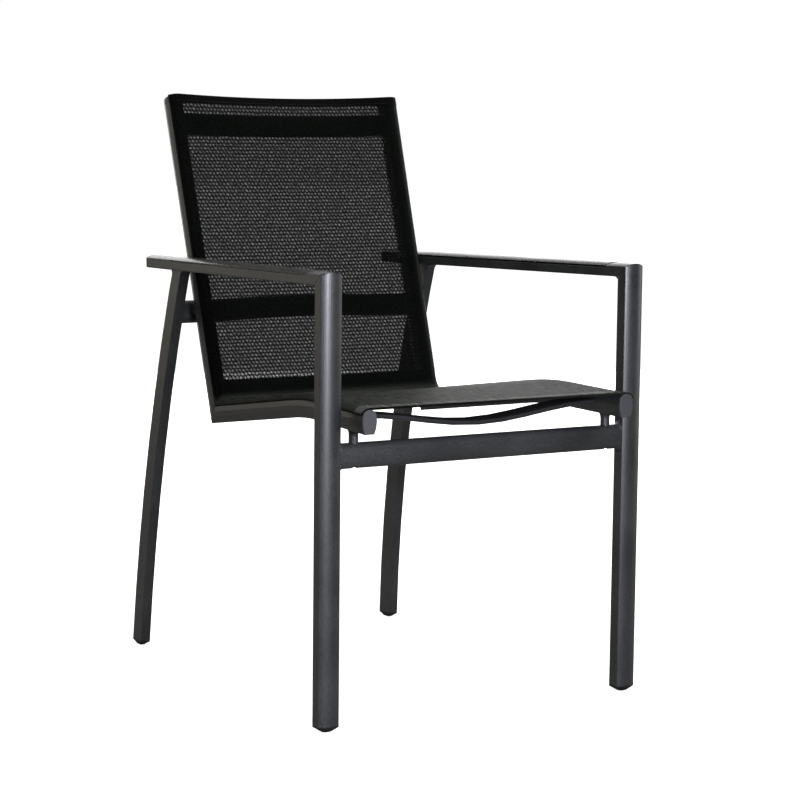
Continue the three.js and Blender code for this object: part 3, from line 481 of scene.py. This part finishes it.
def cloth_mesh(picked, thickness, start_length=0.0):
    """A closed sheet through the cross-sections, with coordinates in metres on both faces."""
    mesh_data = bmesh.new()
    layer = mesh_data.loops.layers.uv.new("weave")
    middles = [point_at(row, 0.0, rail_height + cloth_lift + row[3]) for row in picked]
    along = [start_length + length for length in lengths_along(middles)]
    loops, widths = [], []
    for row in picked:
        over, under = ([point_at(row, x, z) for x, z in cloth_line(row[1], row[3], lift)]
                       for lift in (thickness / 2, -thickness / 2))
        run = lengths_along(over)
        run = [length - run[-1] / 2 + edge_allowance for length in run]
        loops.append([mesh_data.verts.new(p) for p in over + under[::-1]])
        widths.append(run + run[::-1])
    count = len(loops[0])
    sides = [((i, j), (i, (j + 1) % count), (i + 1, (j + 1) % count), (i + 1, j))
             for i in range(len(loops) - 1) for j in range(count)]
    ends = [((i, j), (i, j + 1), (i, count - 2 - j), (i, count - 1 - j))
            for i in (0, len(loops) - 1) for j in range(count // 2 - 1)]
    for corners in sides + ends:
        face = mesh_data.faces.new([loops[i][j] for i, j in corners])
        for loop, (i, j) in zip(face.loops, corners):
            loop[layer].uv = (widths[i][j], along[i] + edge_allowance)
    for end_loop in (loops[0], loops[-1]):
        for a, b in zip(end_loop, end_loop[1:] + end_loop[:1]):
            mesh_data.edges.get((a, b)).smooth = False
    return mesh_data


# The yarn's pattern is laid out in metres along the cloth and across it.
opening_pitch = (0.0063, 0.0057)
opening_slant = -0.6
opening_falloff = -6.0
pitch_wander = 0.3
yarns_per_opening = 4.0
twill_pitch = (0.00566, 0.00496)
twill_share = 0.6
slub_draw = (1.0, 0.16, 1.0)


def weave_group():
    """Woven yarn: its shade, relief height, how solid it is, and its thick and thin runs."""
    group, given, result = new_group(
        "sling_weave",
        [("Opening", "NodeSocketFloat", 0.0)],
        [("Shade", "NodeSocketFloat"), ("Height", "NodeSocketFloat"),
         ("Solid", "NodeSocketFloat"), ("Slub", "NodeSocketFloat")])
    uv = node(group, "ShaderNodeUVMap", uv_map="weave")
    parts = node(group, "ShaderNodeSeparateXYZ", {0: uv.outputs[0]})

    def calc(operation, first, second=0.0, third=0.0):
        made = node(group, "ShaderNodeMath", {0: first, 1: second, 2: third}, operation=operation)
        return made.outputs[0]

    wander = node(group, "ShaderNodeTexNoise", {
        "Vector": uv.outputs[0], "Scale": 190.0, "Detail": 0.0})
    strength = node(group, "ShaderNodeTexNoise", {
        "Vector": uv.outputs[0], "Scale": 330.0, "Detail": 0.0})
    offsets = node(group, "ShaderNodeSeparateXYZ", {0: wander.outputs["Color"]})
    cell_x, cell_y = (
        calc("MULTIPLY_ADD", offsets.outputs[i], pitch_wander,
             calc("DIVIDE", parts.outputs[i], opening_pitch[i])) for i in (0, 1))
    stagger = calc("MULTIPLY", calc("MODULO", calc("FLOOR", cell_y), 2.0), 0.5)
    local_x = calc("SUBTRACT", calc("FRACT", calc("ADD", cell_x, stagger)), 0.5)
    local_y = calc("SUBTRACT", calc("FRACT", cell_y), 0.5)
    cross = calc("MULTIPLY", calc("MULTIPLY", local_x, local_y), opening_slant)
    away = calc("ADD", calc("MULTIPLY_ADD", local_x, local_x, cross),
                calc("MULTIPLY", local_y, local_y))
    light = calc("EXPONENT", calc("MULTIPLY", away, opening_falloff))
    unequal = node(group, "ShaderNodeMapRange", {
        "Value": strength.outputs[0], "From Min": 0.3, "From Max": 0.7,
        "To Min": 0.6, "To Max": 1.3})
    opened = calc("MULTIPLY", calc("MULTIPLY", light, unequal.outputs[0]),
                  given.outputs["Opening"])
    solid = calc("SUBTRACT", 1.0, opened)
    warp, weft = (
        calc("ABSOLUTE", calc("SINE", calc("MULTIPLY", cell, yarns_per_opening * math.pi)))
        for cell in (cell_x, cell_y))
    swap = calc("ADD", calc("FLOOR", calc("MULTIPLY", cell_x, yarns_per_opening)),
                calc("FLOOR", calc("MULTIPLY", cell_y, yarns_per_opening)))
    over = calc("MODULO", swap, 2.0)
    yarn = node(group, "ShaderNodeMix", {0: over, 2: warp, 3: weft}, data_type="FLOAT")
    slant = calc("SUBTRACT", calc("DIVIDE", parts.outputs[0], twill_pitch[0]),
                 calc("DIVIDE", parts.outputs[1], twill_pitch[1]))
    twill = calc("MULTIPLY_ADD", calc("SINE", calc("MULTIPLY", slant, 2 * math.pi)), 0.5, 0.5)
    drawn = node(group, "ShaderNodeVectorMath", {0: uv.outputs[0], 1: slub_draw},
                 operation="MULTIPLY")
    slub = node(group, "ShaderNodeTexNoise", {
        "Vector": drawn.outputs[0], "Scale": 250.0, "Detail": 1.0, "Roughness": 0.4})
    uneven = node(group, "ShaderNodeMapRange", {
        "Value": slub.outputs[0], "From Min": 0.38, "From Max": 0.62,
        "To Min": 0.15, "To Max": 1.05})
    shade = calc("MULTIPLY", calc("MULTIPLY_ADD", twill, twill_share, 1 - twill_share),
                 yarn.outputs[0])
    height = calc("ADD", yarn.outputs[0], twill)
    group.links.new(shade, result.inputs["Shade"])
    group.links.new(height, result.inputs["Height"])
    group.links.new(solid, result.inputs["Solid"])
    group.links.new(uneven.outputs[0], result.inputs["Slub"])
    return group


weave = weave_group()
yarn_roughness = 0.5
yarn_relief = 0.6
yarn_depth = 0.0004
even_shade = 0.72
sheen_and_closing_starts, sheen_and_closed_from = 0.17, 0.5
slub_starts, slub_full = 0.6, 0.9


def woven(name, dark, light, painted_sheen, opening=0.0, **sockets):
    """Black and grey-green coated yarn. Seen along the cloth its openings close, and a painted
    sheen pales it.
    """
    material, shader = new_material(name, dark, yarn_roughness, **sockets)
    tree = material.node_tree
    cloth = node(tree, "ShaderNodeGroup", node_tree=weave)
    cloth.inputs["Opening"].default_value = opening
    slope = node(tree, "ShaderNodeLayerWeight", {"Blend": 0.5})
    closing_and_sheen = node(tree, "ShaderNodeMapRange", {
        "Value": slope.outputs["Facing"], "From Min": sheen_and_closing_starts, "From Max": sheen_and_closed_from})
    # Painted sheen: the yarn's colour is mixed toward a light tone as the cloth is seen at a low
    # angle.
    sheened_colour = node(tree, "ShaderNodeMix", {
        0: closing_and_sheen.outputs[0], 6: (*light, 1), 7: (*painted_sheen, 1)}, data_type="RGBA")
    drawn_out = node(tree, "ShaderNodeMapRange", {
        "Value": slope.outputs["Facing"], "From Min": slub_starts, "From Max": slub_full})
    streak = node(tree, "ShaderNodeMix", {
        0: drawn_out.outputs[0], 2: even_shade, 3: cloth.outputs["Slub"]}, data_type="FLOAT")
    shade = node(tree, "ShaderNodeMath", {
        0: cloth.outputs["Shade"], 1: streak.outputs[0]}, operation="MULTIPLY")
    colour = node(tree, "ShaderNodeMix", {
        0: shade.outputs[0], 6: (*dark, 1), 7: sheened_colour.outputs[2]}, data_type="RGBA")
    bump = node(tree, "ShaderNodeBump", {
        "Height": cloth.outputs["Height"], "Strength": yarn_relief, "Distance": yarn_depth})
    tree.links.new(colour.outputs[2], shader.inputs["Base Color"])
    tree.links.new(bump.outputs[0], shader.inputs["Normal"])
    if opening:
        solid = node(tree, "ShaderNodeMix", {
            0: closing_and_sheen.outputs[0], 2: cloth.outputs["Solid"], 3: 1.0}, data_type="FLOAT")
        tree.links.new(solid.outputs[0], shader.inputs["Alpha"])
    return material


mesh_cloth = woven("sling_mesh", dark=(0.0006, 0.0006, 0.0006), light=(0.006, 0.0085, 0.0056),
                   painted_sheen=(0.096, 0.105, 0.09), opening=0.37, Specular_IOR_Level=0.03)
whole = (spread(seat_row, seat_length, fold_reach, seat_steps) + fold_rows(fold_steps)
         + spread(back_row, fold_reach, top_length, back_steps))
sling = finished("sling_cloth", cloth_mesh(whole, cloth_thickness), mesh_cloth)
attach(sling, "root")
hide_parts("sling")

# Hems
# The sling's two ends are turned over and sewn down. The front hem is the thicker one, and
# its light edge is a painted sheen. The layers of a hem cover each other's openings.
top_hem_width, top_hem_thickness = 13.2, 2.2
top_hem_past = 0.3
top_hem_weave_start = 0.9
top_hem_steps = 5
front_hem_width, front_hem_thickness = 22.0, 3.4
front_hem_past = 0.4
front_hem_steps = 8

hem_cloth = woven("sling_hem", dark=(0.0006, 0.0006, 0.0006), light=(0.004, 0.0047, 0.0038),
                  painted_sheen=(0.05, 0.055, 0.047), Specular_IOR_Level=0.04)
# The front hem's light tone at a low angle is a painted sheen, stronger than the rest of the
# cloth's.
front_cloth = woven("sling_front_hem", dark=(0.0008, 0.0008, 0.0008),
                    light=(0.006, 0.0068, 0.0056), painted_sheen=(0.28, 0.3, 0.265),
                    Specular_IOR_Level=0.04)
top_rows = spread(back_row, top_length - top_hem_width, top_length + top_hem_past,
                  top_hem_steps)
front_rows = spread(seat_row, seat_length + front_hem_past, seat_length - front_hem_width,
                    front_hem_steps)
top_hem = finished("sling_top_hem", cloth_mesh(top_rows, top_hem_thickness, top_hem_weave_start),
                   hem_cloth)
front_hem = finished("sling_front_hem", cloth_mesh(front_rows, front_hem_thickness), front_cloth)
for hem in (top_hem, front_hem):
    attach(hem, "root")

# Hem stitches
# Black thread holds the hems down, in lock stitches: two rows along the front hem and one
# along the top hem. Each stitch lies on the cloth as a small bead.
stitch_pitch = 4.2
stitch_size = (3.2, 1.0, 0.8)
front_seams = (3.0, front_hem_width - 2.5)
front_seam_lift = 1.7
top_seam = 10.5
top_seam_lift = 1.1


def stitch_row(made, row, lift):
    """A line of lock stitches across the cloth, each a small bead of thread."""
    _, half, _, hang, _ = row
    inner = half - crown_inner_edge
    count = round(2 * inner / stitch_pitch)
    for i in range(count):
        x = -inner + 2 * inner * (i + 0.5) / count
        height = rail_height + cloth_lift + hang * (1 - (x / inner) ** 2) + lift
        place = Matrix.Translation(point_at(row, x, height))
        size = Matrix.Diagonal((*(length * MM / 2 for length in stitch_size), 1.0))
        bmesh.ops.create_icosphere(made, subdivisions=1, radius=1.0, matrix=place @ size)


thread = grained("hem_thread", dark=(0.002, 0.002, 0.002), light=(0.006, 0.006, 0.006),
                 roughness=0.6, relief=0.3, scale=1.5)
stitches = bmesh.new()
for seam in front_seams:
    stitch_row(stitches, seat_row(seat_length - seam), front_seam_lift)
stitch_row(stitches, back_row(top_length - top_seam), top_seam_lift)
hem_stitches = finished("sling_hem_stitches", stitches, thread)
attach(hem_stitches, "root")
